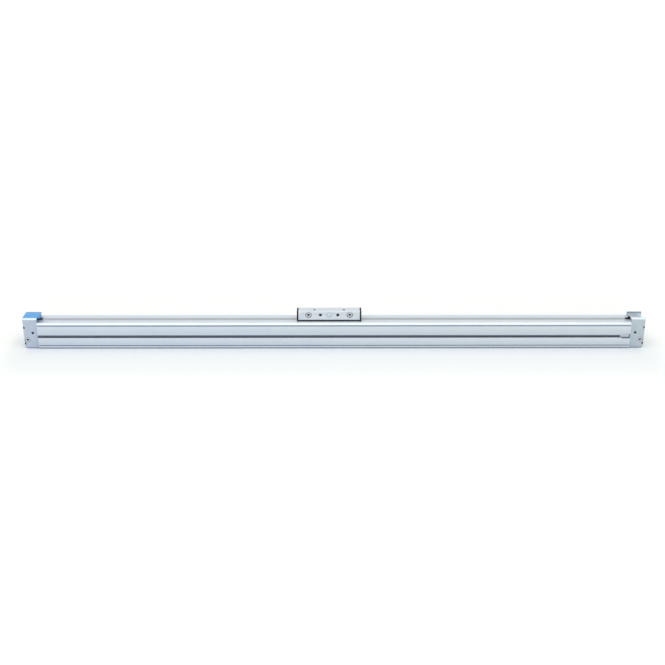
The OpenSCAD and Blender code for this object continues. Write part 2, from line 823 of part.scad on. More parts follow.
module wiper() {
  x0 = carriage_l / 2;
  union() {
    along(x0, wiper_t) {
      translate([-carriage_w / 2, flange_z]) square([carriage_w, body_z - flange_z + carriage_chamfer]);
      carriage_outline();
    }
    peg_places() bar_x(peg_d, x0 - peg_l, x0 + wiper_t / 2);
  }
}

module side_screws() {
  for (s = [-1, 1]) translate([s * lug_x, 0, side_z]) difference() {
    union() {
      bar_front(side_head_d, -carriage_w / 2 + side_head_t, side_head_t);
      bar_front(side_screw_d, -channel_half - slide_gap, lug_t + wall_t - side_head_t - slide_gap + cut_over / 4);
    }
    socket_front(side_socket, -carriage_w / 2, side_head_t + side_head_t / 2);
  }
}

module piston_yoke() {
  band = inner_line(core_half + cut_over, 0);
  aluminium() on_carriage() difference() {
    union() {
      translate([0, 0, bore_z]) {
        bar_x(2 * yoke_r, -core_half, core_half);
        bar_x(stud_d, -core_half - stud_l, core_half + stud_l);
      }
      // neck, flange and lugs
      translate([-neck_l / 2, -neck_slot_w / 2 + band_room, bore_z + yoke_r - band_room])
        cube([neck_l, neck_slot_w - 2 * band_room, flange_z - bore_z - yoke_r + 2 * band_room]);
      translate([-flange_l / 2, -lug_out, flange_z]) cube([flange_l, 2 * lug_out, flange_t]);
      both_sides() for (s = [-1, 1]) translate([s * lug_x - lug_l / 2, channel_half, flange_z])
        cube([lug_l, lug_t, lug_top - slide_gap - flange_z]);
    }
    // way of the inner band: a tunnel under the neck, open ramps beyond it
    across(inner_slot_w) polygon(concat(raised(band, -band_room),
      flipped(raised(band, inner_band_t + band_room))));
    both_sides_x() translate([tunnel_l / 2, -inner_slot_w / 2, inner_low_top])
      cube([core_half, inner_slot_w, bore_r]);
    // threads of the side screws
    both_sides() for (s = [-1, 1]) translate([s * lug_x, 0, side_z])
      bar_front(side_screw_d + 2 * thread_seat, -channel_half + cut_over, lug_t + 2 * cut_over);
  }
}

module both_sides_x() {
  children();
  mirror([1, 0, 0]) children();
}

module piston() {
  translate([0, 0, bore_z]) difference() {
    bar_x(2 * piston_r, core_half, piston_half);
    piston_groove(lip_at, lip_groove_l, lip_groove_t);
    piston_groove(magnet_at, magnet_groove_l, magnet_groove_t);
    piston_groove(guide_at, guide_groove_l, guide_groove_t);
    // seat on the yoke stud, cushion socket and its seal
    bar_x(stud_d + 2 * seat_gap, core_half - cut_over, core_half + stud_l + slide_gap);
    bar_x(spigot_d + 4 * slide_gap, piston_half - socket_l, piston_half + cut_over);
    bar_x(cushion_seal_d + 2 * seat_gap, piston_half - cushion_seal_t, piston_half + cut_over);
  }
}

module piston_groove(at, l, t) {
  x1 = piston_half - at;
  ring_x(bore_d + cut_over, 2 * (piston_r - t), x1 - l, x1);
}

module ring_in_groove(at, l, t, r_out) {
  x1 = piston_half - at - seat_gap;
  translate([0, 0, bore_z])
    ring_x(2 * r_out, 2 * (piston_r - t + seat_gap), x1 - l + 2 * seat_gap, x1);
}

module lip_seal() {
  x1 = piston_half - lip_at - seat_gap;
  l = lip_groove_l - 2 * seat_gap;
  r0 = piston_r - lip_groove_t + seat_gap;
  t = (run_r - r0) / 3;
  translate([x1 - l, 0, bore_z]) rotate([0, 90, 0]) rotate_extrude()
    polygon([[r0, 0], [run_r - t / 2, 0], [run_r - t / 2, l / 3], [run_r, l],
      [run_r - t, l], [r0 + 1.5 * t, l / 3], [r0 + t, l], [r0, l]]);
}

module guide_ring() {
  ring_in_groove(guide_at, guide_groove_l, guide_groove_t, run_r);
}

module magnet() {
  ring_in_groove(magnet_at, magnet_groove_l, magnet_groove_t, piston_r - seat_gap);
}

module cushion_seal() {
  translate([0, 0, bore_z]) ring_x(cushion_seal_d, spigot_d + 2 * run_fit,
    piston_half - cushion_seal_t, piston_half);
}

// ---- named pieces ----

module left_end_cap() { aluminium() at_end(-1) end_cap(); }
module right_end_cap() { aluminium() at_end(1) end_cap(); }
module left_cap_screws() { steel() at_end(-1) cap_screws(); }
module right_cap_screws() { steel() at_end(1) cap_screws(); }
module left_cap_seal() { black_plastic() at_end(-1) cap_seal(); }
module right_cap_seal() { black_plastic() at_end(1) cap_seal(); }
module left_bumper() { black_plastic() at_end(-1) bumper(); }
module right_bumper() { black_plastic() at_end(1) bumper(); }
module left_cushion_spigot() { steel() at_end(-1) cushion_spigot(); }
module right_cushion_spigot() { steel() at_end(1) cushion_spigot(); }
module left_band_clamp() { aluminium() at_end(-1) band_clamp(); }
module right_band_clamp() { aluminium() at_end(1) band_clamp(); }
module left_band_guide() { black_plastic() at_end(-1) band_guide(); }
module right_band_guide() { black_plastic() at_end(1) band_guide(); }
module left_clamp_screws() { steel() at_end(-1) clamp_screws(); }
module right_clamp_screws() { steel() at_end(1) clamp_screws(); }
module left_band_cover() { blue_plastic() at_end(-1) band_cover(); }
module left_port_plugs() { steel() at_end(-1) port_plugs(); }
module right_port_plugs() { steel() at_end(1) port_plugs(); }
module left_cushion_screw() { steel() at_end(-1) cushion_screw(); }
module right_cushion_screw() { steel() at_end(1) cushion_screw(); }
module front_slide_strip() { black_plastic() on_carriage() mirror([0, 1, 0]) slide_strip(); }
module rear_slide_strip() { black_plastic() on_carriage() slide_strip(); }
module left_wiper() { black_plastic() on_carriage() at_end(-1) wiper(); }
module right_wiper() { black_plastic() on_carriage() at_end(1) wiper(); }
module carriage_screws() { steel() on_carriage() both_sides() side_screws(); }
module centre_plugs() {
  steel() on_carriage() both_sides() translate([0, 0, side_z])
    bar_front(centre_plug_d, -carriage_w / 2 + centre_plug_t, centre_plug_t);
}
module left_piston() { aluminium() on_carriage() at_end(-1) piston(); }
module right_piston() { aluminium() on_carriage() at_end(1) piston(); }
module left_lip_seal() { black_plastic() on_carriage() at_end(-1) lip_seal(); }
module right_lip_seal() { black_plastic() on_carriage() at_end(1) lip_seal(); }
module left_guide_ring() { black_plastic() on_carriage() at_end(-1) guide_ring(); }
module right_guide_ring() { black_plastic() on_carriage() at_end(1) guide_ring(); }
module left_magnet() { steel() on_carriage() at_end(-1) magnet(); }
module right_magnet() { steel() on_carriage() at_end(1) magnet(); }
module left_cushion_seal() { black_plastic() on_carriage() at_end(-1) cushion_seal(); }
module right_cushion_seal() { black_plastic() on_carriage() at_end(1) cushion_seal(); }

profile_barrel();
outer_cover_band();
inner_seal_band();
left_end_cap();
right_end_cap();
left_cap_screws();
right_cap_screws();
left_cap_seal();
right_cap_seal();
left_bumper();
right_bumper();
left_cushion_spigot();
right_cushion_spigot();
left_band_clamp();
right_band_clamp();
left_band_guide();
right_band_guide();
left_clamp_screws();
right_clamp_screws();
left_band_cover();
left_port_plugs();
right_port_plugs();
left_cushion_screw();
right_cushion_screw();
carriage_body();
front_slide_strip();
rear_slide_strip();
left_wiper();
right_wiper();
carriage_screws();
centre_plugs();
piston_yoke();
left_piston();
right_piston();
left_lip_seal();
right_lip_seal();
left_guide_ring();
right_guide_ring();
left_magnet();
right_magnet();
left_cushion_seal();
right_cushion_seal();
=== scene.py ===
"""Looks of a band-sealed rodless air cylinder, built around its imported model."""
import json
import math

import bmesh
import bpy
from mathutils import Matrix, Vector


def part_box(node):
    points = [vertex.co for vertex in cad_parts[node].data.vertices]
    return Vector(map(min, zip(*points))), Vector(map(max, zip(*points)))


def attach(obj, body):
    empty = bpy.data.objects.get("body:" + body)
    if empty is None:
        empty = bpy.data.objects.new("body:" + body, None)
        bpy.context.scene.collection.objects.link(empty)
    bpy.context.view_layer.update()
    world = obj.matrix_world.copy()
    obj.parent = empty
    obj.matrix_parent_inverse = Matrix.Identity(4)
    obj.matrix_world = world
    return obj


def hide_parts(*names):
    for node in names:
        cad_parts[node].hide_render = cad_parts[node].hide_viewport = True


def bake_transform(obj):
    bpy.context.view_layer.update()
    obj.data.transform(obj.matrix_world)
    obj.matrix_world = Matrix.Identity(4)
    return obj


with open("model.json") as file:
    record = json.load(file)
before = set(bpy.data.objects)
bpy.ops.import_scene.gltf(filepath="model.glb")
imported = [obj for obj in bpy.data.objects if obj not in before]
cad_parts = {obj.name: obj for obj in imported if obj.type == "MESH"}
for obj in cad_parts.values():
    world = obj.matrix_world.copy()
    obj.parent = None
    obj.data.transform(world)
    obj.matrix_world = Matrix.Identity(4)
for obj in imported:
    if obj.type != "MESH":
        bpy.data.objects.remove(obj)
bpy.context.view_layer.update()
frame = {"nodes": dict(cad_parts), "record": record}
NODES = frame["nodes"]
MM = 0.001

# ---------------------------------------------------------------- camera

VIEW_TILT = math.radians(22.77)
VIEW_ROLL = math.radians(-0.057)
VIEW_FROM = 2.0051
VIEW_AT = Vector((-0.00256, 0.0, 0.02218))
VIEW_SENSOR = 36.0
VIEW_LENS = 60.72
VIEW_REACH = 50.0


def added(name, data):
    """A new object in the scene."""
    made = bpy.data.objects.new(name, data)
    bpy.context.scene.collection.objects.link(made)
    return made


def place_camera():
    data = bpy.data.cameras.new("studio_camera")
    data.sensor_width = VIEW_SENSOR
    data.lens = VIEW_LENS
    data.clip_end = VIEW_REACH
    camera = added("studio_camera", data)
    ahead = Vector((0.0, math.cos(VIEW_TILT), -math.sin(VIEW_TILT)))
    turn = Matrix.Rotation(math.pi / 2 - VIEW_TILT, 4, "X") @ Matrix.Rotation(VIEW_ROLL, 4, "Z")
    camera.matrix_world = Matrix.Translation(VIEW_AT - ahead * VIEW_FROM) @ turn
    bpy.context.scene.camera = camera


place_camera()
bpy.context.scene.view_settings.view_transform = "Standard"

# ---------------------------------------------------------------- nodes


def fill(tree, node, values):
    """Give a node its inputs: another node's socket is linked, and anything else is set."""
    for key, value in values.items():
        if isinstance(value, bpy.types.NodeSocket):
            tree.links.new(value, node.inputs[key])
        else:
            node.inputs[key].default_value = value


def add_node(tree, kind, values=None, **settings):
    """A new node in a tree, with its settings and its inputs."""
    node = tree.nodes.new(kind)
    for key, value in settings.items():
        setattr(node, key, value)
    fill(tree, node, values or {})
    return node


# ---------------------------------------------------------------- materials

WHITE = (1.0, 1.0, 1.0)


class Recipe:
    """A node material under construction, with short names for what the finishes share."""

    def __init__(self, name):
        self.material = bpy.data.materials.new(name)
        self.material.use_nodes = True
        self.tree = self.material.node_tree
        self.tree.nodes.clear()
        self.shader = self.node("ShaderNodeBsdfPrincipled")
        self.node("ShaderNodeOutputMaterial", {"Surface": self.shader.outputs["BSDF"]})
        self.place = self.node("ShaderNodeTexCoord").outputs["Object"]

    def node(self, kind, values=None, **settings):
        return add_node(self.tree, kind, values, **settings)

    def finished(self, values):
        """The material, once its surface has these inputs."""
        fill(self.tree, self.shader, values)
        return self.material

    def stretched(self, x, y, z):
        """Object place, scaled so that a pattern runs long along the small numbers."""
        return self.node("ShaderNodeMapping", {"Vector": self.place, "Scale": (x, y, z)}).outputs["Vector"]

    def noise(self, place, scale, detail, rough):
        values = {"Vector": place, "Scale": scale, "Detail": detail, "Roughness": rough}
        return self.node("ShaderNodeTexNoise", values).outputs["Fac"]

    def ramp(self, fac, low, high, start=0.3, end=0.7):
        """Spread a pattern between two colours."""
        node = self.node("ShaderNodeValToRGB", {"Fac": fac})
        node.color_ramp.elements[0].position = start
        node.color_ramp.elements[1].position = end
        node.color_ramp.elements[0].color = (*low, 1.0)
        node.color_ramp.elements[1].color = (*high, 1.0)
        return node.outputs["Color"]

    def spread(self, fac, low, high, start=0.25, end=0.75):
        """Spread a pattern between two numbers."""
        values = {"Value": fac, "From Min": start, "From Max": end, "To Min": low, "To Max": high}
        return self.node("ShaderNodeMapRange", values).outputs["Result"]

    def mix(self, fac, a, b, how="MULTIPLY"):
        values = {"Factor": fac, "A": a, "B": b}
        return self.node("ShaderNodeMix", values, data_type="RGBA", blend_type=how).outputs["Result"]

    def vector(self, how, a, b):
        """Vector arithmetic, where a single number stands for all three parts."""
        values = {i: (v, v, v) if isinstance(v, float) else v for i, v in enumerate((a, b))}
        return self.node("ShaderNodeVectorMath", values, operation=how).outputs["Vector"]

    def maths(self, how, a, b):
        return self.node("ShaderNodeMath", {0: a, 1: b}, operation=how).outputs["Value"]

    def parts(self, vector):
        """The x, y and z of a vector."""
        return self.node("ShaderNodeSeparateXYZ", {"Vector": vector}).outputs

    def within(self, low, high, soft=0.25 * MM):
        """1 inside a box of the object's own space, fading to 0 over a short way at its sides."""
        up = self.vector("SUBTRACT", self.place, low)
        down = self.vector("SUBTRACT", high, self.place)
        steps = self.vector("MULTIPLY", self.vector("MINIMUM", up, down), 1.0 / soft)
        inside = self.parts(self.vector("MAXIMUM", self.vector("MINIMUM", steps, 1.0), 0.0))
        plan = self.maths("MULTIPLY", inside["X"], inside["Y"])
        return self.maths("MULTIPLY", plan, inside["Z"])

    def darkened(self, colour, where, tone):
        """Keep a share of a colour where a mask is 1, and a little more of its blue."""
        dark = self.ramp(where, WHITE, (tone * 0.95, tone, tone * 1.15), 0.0, 1.0)
        return self.mix(1.0, colour, dark)

    def painted_shade(self, colour, zones):
        """Darken a colour in the given boxes: painted shade in slots, grooves, holes and the gaps between
        parts.
        """
        for low, high, tone in zones:
            colour = self.darkened(colour, self.within(low, high), tone)
        return colour

    def shade_ringed(self, colour, shade_rings, soft=0.12 * MM):
        """Darken a colour in round bands about axes along y: painted shade at the rim of a hole."""
        for axis, inner, outer, tone in shade_rings:
            apart = self.vector("MULTIPLY", self.vector("SUBTRACT", self.place, axis), (1.0, 0.0, 1.0))
            radius = self.node("ShaderNodeVectorMath", {0: apart}, operation="LENGTH").outputs["Value"]
            begun = self.spread(radius, 0.0, 1.0, inner - soft, inner + soft)
            open_yet = self.spread(radius, 1.0, 0.0, outer - soft, outer + soft)
            colour = self.darkened(colour, self.maths("MULTIPLY", begun, open_yet), tone)
        return colour

    def painted_light(self, colour, boxes, lit_colour):
        """Lighten a colour in the given boxes: painted highlight and painted light."""
        for low, high in boxes:
            colour = self.mix(self.within(low, high), colour, (*lit_colour, 1.0), "MIX")
        return colour

    def relief(self, height, depth, strength, under=None):
        values = {"Height": height, "Distance": depth, "Strength": strength}
        if under is not None:
            values["Normal"] = under
        return self.node("ShaderNodeBump", values).outputs["Normal"]


def scaled(colour, k):
    return tuple(min(1.0, c * k) for c in colour)


def drawn_metal(name, colour, metallic, rough, lines, contrast, along="x", zones=(), cool_light_tint=None, shade_rings=()):
    """Extruded or brushed metal: long fine lines, cloudy patches and a light grain."""
    m = Recipe(name)
    run = {"x": (2.0, lines, lines), "y": (lines, 2.0, lines)}[along]
    streak = m.noise(m.stretched(*run), scale=1.0, detail=4.0, rough=0.65)
    cloud = m.noise(m.place, scale=28.0, detail=3.0, rough=0.55)
    grain = m.noise(m.place, scale=5200.0, detail=2.0, rough=0.5)
    base = m.ramp(streak, scaled(colour, 1.0 - contrast), scaled(colour, 1.0 + contrast))
    tone = m.ramp(cloud, (0.965, 0.97, 0.98), WHITE)
    # Painted shade in the given boxes and round bands.
    skin = m.shade_ringed(m.painted_shade(m.mix(1.0, base, tone), zones), shade_rings)
    # Painted cool light: the colour tinted towards the given tint at the bar's left end, fading out by x =
    # 0.2 m.
    if cool_light_tint:
        along_bar = m.spread(m.parts(m.place)["X"], 0.0, 1.0, -0.5, 0.2)
        skin = m.mix(1.0, skin, m.ramp(along_bar, cool_light_tint, WHITE, 0.0, 1.0))
    fine = m.relief(grain, depth=0.02 * MM, strength=0.25)
    return m.finished({"Base Color": skin, "Metallic": metallic,
                       "Roughness": m.spread(streak, rough - 0.05, rough + 0.06),
                       "Normal": m.relief(streak, depth=0.03 * MM, strength=0.35, under=fine)})


def blasted_metal(name, colour, metallic, rough, zones=(), lit_boxes=(), shade_rings=()):
    """Cast or blasted metal: an even fine pebble grain with faint stains."""
    m = Recipe(name)
    pebble = m.noise(m.place, scale=2600.0, detail=4.0, rough=0.6)
    cloud = m.noise(m.place, scale=110.0, detail=4.0, rough=0.6)
    base = m.ramp(pebble, scaled(colour, 0.94), scaled(colour, 1.05))
    tone = m.ramp(cloud, (0.91, 0.92, 0.94), WHITE)
    # Painted shade in the given boxes and round bands.
    painted_shade = m.shade_ringed(m.painted_shade(m.mix(1.0, base, tone), zones), shade_rings)
    # Painted highlight and painted light: the skin a fifth brighter in the given boxes.
    skin = m.painted_light(painted_shade, lit_boxes, scaled(colour, 1.2))
    return m.finished({"Base Color": skin, "Metallic": metallic,
                       "Roughness": m.spread(cloud, rough - 0.05, rough + 0.07),
                       "Normal": m.relief(pebble, depth=0.06 * MM, strength=0.4)})


def moulded(name, colour, rough, grain_scale, grain_depth, coat=0.0, shine=0.5, zones=()):
    """Moulded plastic or rubber: fine mould grain with faint flecks, and slight flow marks."""
    m = Recipe(name)
    grain = m.noise(m.place, grain_scale, detail=3.0, rough=0.55)
    flow = m.noise(m.stretched(20.0, 60.0, 60.0), scale=1.0, detail=3.0, rough=0.5)
    base = m.ramp(flow, scaled(colour, 0.9), scaled(colour, 1.1))
    fleck = m.ramp(grain, (0.92, 0.92, 0.93), WHITE)
    # Any given boxes darken the colour as painted shade.
    return m.finished({"Base Color": m.painted_shade(m.mix(1.0, base, fleck), zones),
                       "Roughness": m.spread(flow, rough - 0.06, rough + 0.08),
                       "Specular IOR Level": shine, "Coat Weight": coat, "Coat Roughness": 0.18,
                       "Normal": m.relief(grain, grain_depth, strength=0.35)})


# ---------------------------------------------------------------- painted shade and painted light

# A zone of painted shade is two corners of a box and a tone, the share of its brightness that a skin keeps in
# there.
# FAR lies past the whole cylinder on any side.
FAR = 1.0


def box_of(node, inset):
    """Corners of a node's box, drawn in from each side by an inset."""
    low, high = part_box(node)
    pull = Vector(inset)
    return Vector(low) + pull, Vector(high) - pull


BAR_END_SKIN = 0.4 * MM
BAR_LOW, BAR_HIGH = box_of("profile_barrel", (BAR_END_SKIN, 0.7 * MM, 0.5 * MM))
BODY_LOW, BODY_HIGH = box_of("carriage_body", (0.5 * MM, 0.45 * MM, 0.45 * MM))
# Painted shade about half a millimetre or more inside the carriage body's box: its pockets, holes and the
# seats of its side screws.
BODY_INSIDE_SHADE = [(BODY_LOW, BODY_HIGH, 0.12)]
SLOT_MIDDLE = 23.3 * MM
SLOT_INNER = 9.0 * MM
SLOT_EDGE = 1.0 * MM
SLOT_FOOT = SLOT_MIDDLE - SLOT_INNER / 2 - SLOT_EDGE
SLOT_ROOF = SLOT_MIDDLE + SLOT_INNER / 2 + SLOT_EDGE
SLOT_LIP = SLOT_FOOT + 2.0 * MM
GROOVE_TOP = 45.5 * MM
GAP_START = BAR_HIGH.x - 16.0 * MM

# Painted shade deeper than the insets in from the barrel's faces: in the bore, lower groove and bottom
# chamfer, in the sensor slot, only on the slot's floor where its opening is cut at the right end, and in the
# upper groove.
BAR_ZONES = [
    (BAR_LOW, (BAR_HIGH.x, BAR_HIGH.y, SLOT_FOOT), 0.38),
    ((BAR_LOW.x, BAR_LOW.y, SLOT_FOOT), (GAP_START, BAR_HIGH.y, SLOT_ROOF), 0.42),
    ((GAP_START, BAR_LOW.y, SLOT_FOOT), (BAR_HIGH.x, BAR_HIGH.y, SLOT_LIP), 0.36),
    ((BAR_LOW.x, BAR_LOW.y, SLOT_ROOF), (BAR_HIGH.x, BAR_HIGH.y, GROOVE_TOP), 0.55),
]
CAP_TOE = 1.4 * MM
CAP_FOOT = 6.6 * MM
CAP_CORNER = 2.4 * MM
CAP_SKIN = 0.15 * MM
CAP_FOOT_EDGE = 1.5 * MM
CHANNEL = 14.2 * MM
CHANNEL_FLOOR = 46.0 * MM
GROOVE_END = 0.6 * MM


def cap_zones(node, side):
    """Painted shade inside a cap's holes, in its snap grooves, at its foot and on the line where it meets the
    barrel.
    """
    low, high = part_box(node)
    face = BAR_HIGH.x + BAR_END_SKIN if side > 0 else BAR_LOW.x - BAR_END_SKIN
    end = high.x if side > 0 else low.x

    def span(a, b):
        return sorted((face + side * a, end - side * b))

    holes = span(0.6 * MM, CAP_CORNER)
    toe = span(0.6 * MM, CAP_FOOT)
    seam = sorted((face - side * 1.0 * MM, face + side * 0.4 * MM))
    front, back = low.y + CAP_SKIN, high.y - CAP_SKIN
    groove_low, groove_high = high.z - 3.5 * MM, high.z - 0.7 * MM
    return [
        ((holes[0], front, CAP_FOOT), (holes[1], back, high.z - 9.0 * MM), 0.15),
        ((toe[0], front, CAP_TOE), (toe[1], back, CAP_FOOT), 0.15),
        ((seam[0], low.y, low.z - FAR), (seam[1], high.y, FAR), 0.30),
        ((-FAR, -FAR, -FAR), (FAR, FAR, CAP_FOOT_EDGE), 0.35),
        ((low.x - FAR, low.y + GROOVE_END, groove_low), (high.x + FAR, -CHANNEL, groove_high), 0.50),
        ((low.x - FAR, CHANNEL, groove_low), (high.x + FAR, high.y - GROOVE_END, groove_high), 0.50),
    ]


def shade_rim_of(node, inner, outer, tone):
    """A ring of painted shade about a round piece that faces the front: how far it starts and ends past its
    edge.
    """
    low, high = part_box(node)
    radius = (high.z - low.z) / 2
    return (((low.x + high.x) / 2, 0.0, (low.z + high.z) / 2), radius + inner, radius + outer, tone)


def cap_rim_shade(word):
    """Painted shade in the chamfers of a cap's side port and cushion screw hole."""
    return [shade_rim_of(word + "_port_plugs", 0.0, 0.85 * MM, 0.42),
            shade_rim_of(word + "_cushion_screw", -0.1 * MM, 0.35 * MM, 0.50)]


def cap_painted_light(node):
    """Painted highlight along the top edges of a cap's two walls, and painted light on the milled faces of
    the channel between them.
    """
    low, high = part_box(node)
    rim = high.z - 2.4 * MM
    wall = CHANNEL - 0.4 * MM
    return [((-FAR, -FAR, rim), (FAR, -wall, FAR)),
            ((-FAR, wall, rim), (FAR, FAR, FAR)),
            ((low.x + 0.5 * MM, -CHANNEL, CHANNEL_FLOOR), (high.x - 0.5 * MM, CHANNEL, rim - 0.6 * MM))]


def cover_seam_shade():
    """Painted shade: dark lines where the cover meets the two walls of its cap."""
    seam = CHANNEL - 0.9 * MM
    return [((-FAR, -FAR, -FAR), (FAR, -seam, FAR), 0.22),
            ((-FAR, seam, -FAR), (FAR, FAR, FAR), 0.22)]


# ---------------------------------------------------------------- finishes

# Painted shade fills the port plugs' and cushion screws' sockets nearer the middle than this.
SOCKET_START = 17.4 * MM

# The bar's skin is tinted slightly bluer towards its left end: painted cool light.
ANODISED_BAR = drawn_metal("anodised_bar", (0.675, 0.735, 0.785), metallic=0.55, rough=0.40, lines=900.0,
                           contrast=0.035, zones=BAR_ZONES, cool_light_tint=(0.99, 1.0, 1.04))
MACHINED_SKIN = drawn_metal("machined_carriage_skin", (0.68, 0.735, 0.785), metallic=0.55, rough=0.38,
                            lines=1500.0, contrast=0.03, zones=BODY_INSIDE_SHADE)
# The centre plugs' skin has a ring of painted shade round each plug's edge.
CENTRE_PLUG_SKIN = drawn_metal("machined_centre_plug", (0.68, 0.735, 0.765), metallic=0.55, rough=0.40,
                               lines=1500.0, contrast=0.03,
                               shade_rings=[shade_rim_of("centre_plugs", -0.42 * MM, 0.5 * MM, 0.22)])
MACHINED_PLAIN = drawn_metal("machined_aluminium", (0.66, 0.70, 0.74), metallic=0.60, rough=0.36,
                             lines=1500.0, contrast=0.03)
# The cap threads' skin is a darker copy of the metal: painted shade inside the tapped holes.
TAPPED_SHADED_SKIN = drawn_metal("tapped_cap_thread_shaded", (0.40, 0.43, 0.46), metallic=0.70, rough=0.36,
                          lines=1500.0, contrast=0.03)
# The left cap's skin is bluer than the right cap's: painted cool light at the left end.
LEFT_CAP_SKIN = blasted_metal("blasted_left_cap_skin", (0.55, 0.62, 0.73), metallic=0.50, rough=0.46,
                              zones=cap_zones("left_end_cap", -1), lit_boxes=cap_painted_light("left_end_cap"),
                              shade_rings=cap_rim_shade("left"))
RIGHT_CAP_SKIN = blasted_metal("blasted_right_cap_skin", (0.53, 0.61, 0.655), metallic=0.50, rough=0.46,
                               zones=cap_zones("right_end_cap", 1), lit_boxes=cap_painted_light("right_end_cap"),
                               shade_rings=cap_rim_shade("right"))
ROLLED_STRIP = drawn_metal("rolled_band_strip", (0.42, 0.45, 0.465), metallic=0.70, rough=0.36,
                           lines=1200.0, contrast=0.05)
ZINC = blasted_metal("zinc_plated_screw", (0.50, 0.52, 0.54), metallic=0.85, rough=0.32)
SIDE_SCREW_SKIN = blasted_metal("zinc_plated_side_screw", (0.60, 0.63, 0.66), metallic=0.80, rough=0.34,
                                zones=BODY_INSIDE_SHADE)
# The skin of the port plugs and cushion screws has painted shade inside their sockets.
PLUG_SKIN = blasted_metal("zinc_plated_port_plug", (0.84, 0.87, 0.89), metallic=0.70, rough=0.38,
                          zones=[((-FAR, -SOCKET_START, -FAR), (FAR, SOCKET_START, FAR), 0.14)])
BLACKENED = blasted_metal("blackened_screw", (0.02, 0.02, 0.022), metallic=0.5, rough=0.42)
TURNED_STEEL = drawn_metal("turned_steel", (0.60, 0.61, 0.62), metallic=0.95, rough=0.28, lines=2500.0,
                           contrast=0.04, along="y")
IRON = blasted_metal("sintered_magnet", (0.10, 0.10, 0.105), metallic=0.6, rough=0.5)
BLACK_MOULDING = moulded("black_moulding", (0.005, 0.005, 0.007), rough=0.55, grain_scale=3000.0,
                         grain_depth=0.04 * MM, shine=0.22)
SEAL_RUBBER = moulded("seal_rubber", (0.010, 0.010, 0.010), rough=0.62, grain_scale=2200.0,
                      grain_depth=0.05 * MM)
SEAL_STRIP = moulded("seal_strip", (0.020, 0.020, 0.022), rough=0.50, grain_scale=2600.0,
                     grain_depth=0.03 * MM)
BLUE_MOULDING = moulded("blue_cover_moulding", (0.070, 0.38, 0.80), rough=0.40, grain_scale=2600.0,
                        grain_depth=0.03 * MM, coat=0.10, zones=cover_seam_shade())

# Pieces whose finish differs from their slot's.
OWN_FINISH = {
    "left_end_cap": LEFT_CAP_SKIN,
    "left_port_plugs": PLUG_SKIN,
    "right_port_plugs": PLUG_SKIN,
    "left_cushion_screw": PLUG_SKIN,
    "right_cushion_screw": PLUG_SKIN,
    "carriage_screws": SIDE_SCREW_SKIN,
    "carriage_body": MACHINED_SKIN,
    "centre_plugs": CENTRE_PLUG_SKIN,
}
FINISH_BY_SLOT = {
    "anodised_profile": ANODISED_BAR,
    "cast_cap": RIGHT_CAP_SKIN,
    "cover_band": ROLLED_STRIP,
    "seal_band": SEAL_STRIP,
    "machined_aluminium": MACHINED_PLAIN,
    "plated_screws": ZINC,
    "blackened_screws": BLACKENED,
    "spigot_steel": TURNED_STEEL,
    "magnet_iron": IRON,
    "seal_rubber": SEAL_RUBBER,
    "black_plastic": BLACK_MOULDING,
    "blue_plastic": BLUE_MOULDING,
}
SLOT_OF = {s["node"]: s["material_slot"] for s in frame["record"]["subparts"]}
BODY_OF = {n: b for b, ns in frame["record"]["behaviour"]["bodies"].items() for n in ns}


def finish_of(node):
    return OWN_FINISH.get(node) or FINISH_BY_SLOT[SLOT_OF[node]]


for node, piece in NODES.items():
    for slot in piece.material_slots:
        slot.material = finish_of(node)

# ---------------------------------------------------------------- helpers

SHARP_ANGLE = math.radians(35.0)
EASED_ANGLE = math.radians(25.0)
FLAT_ANGLE = math.radians(0.6)
SAME_POINT = 0.002 * MM


def baked(piece):
    """Turn a piece with live modifiers into a plain mesh object of the same name, smooth but at its edges."""
    view = bpy.context.evaluated_depsgraph_get()
    mesh = bpy.data.meshes.new_from_object(piece.evaluated_get(view))
    materials = list(piece.data.materials)
    name = piece.name
    bpy.data.objects.remove(piece)
    mesh.materials.clear()
    for material in materials:
        mesh.materials.append(material)
    mesh.shade_smooth()
    mesh.set_sharp_from_angle(angle=SHARP_ANGLE)
    return added(name, mesh)


def ride_with(piece, node):
    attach(piece, BODY_OF[node])


def stand_for(piece, node):
    ride_with(piece, node)
    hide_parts(node)


def eased(node, width, segments=2):
    """The node's own shape with small rounded edges, in place of its sharp solid."""
    bm = bmesh.new()
    bm.from_mesh(NODES[node].data)
    bmesh.ops.remove_doubles(bm, verts=bm.verts, dist=SAME_POINT)
    bmesh.ops.dissolve_limit(bm, angle_limit=FLAT_ANGLE, verts=bm.verts, edges=bm.edges)
    bmesh.ops.recalc_face_normals(bm, faces=bm.faces)
    mesh = bpy.data.meshes.new(node + "_eased")
    bm.to_mesh(mesh)
    bm.free()
    mesh.materials.clear()
    mesh.materials.append(finish_of(node))
    piece = added(node + "_eased", mesh)
    bevel = piece.modifiers.new("eased_edges", "BEVEL")
    bevel.width = width
    bevel.segments = segments
    bevel.limit_method = "ANGLE"
    bevel.angle_limit = EASED_ANGLE
    bevel.use_clamp_overlap = True
    stand_for(baked(piece), node)


# ---------------------------------------------------------------- node trees for shapes

ROUND_SIDES = 48
SHANK_SIDES = 40
THREAD_POINTS = 28
RIDGE_SHARE = 0.32


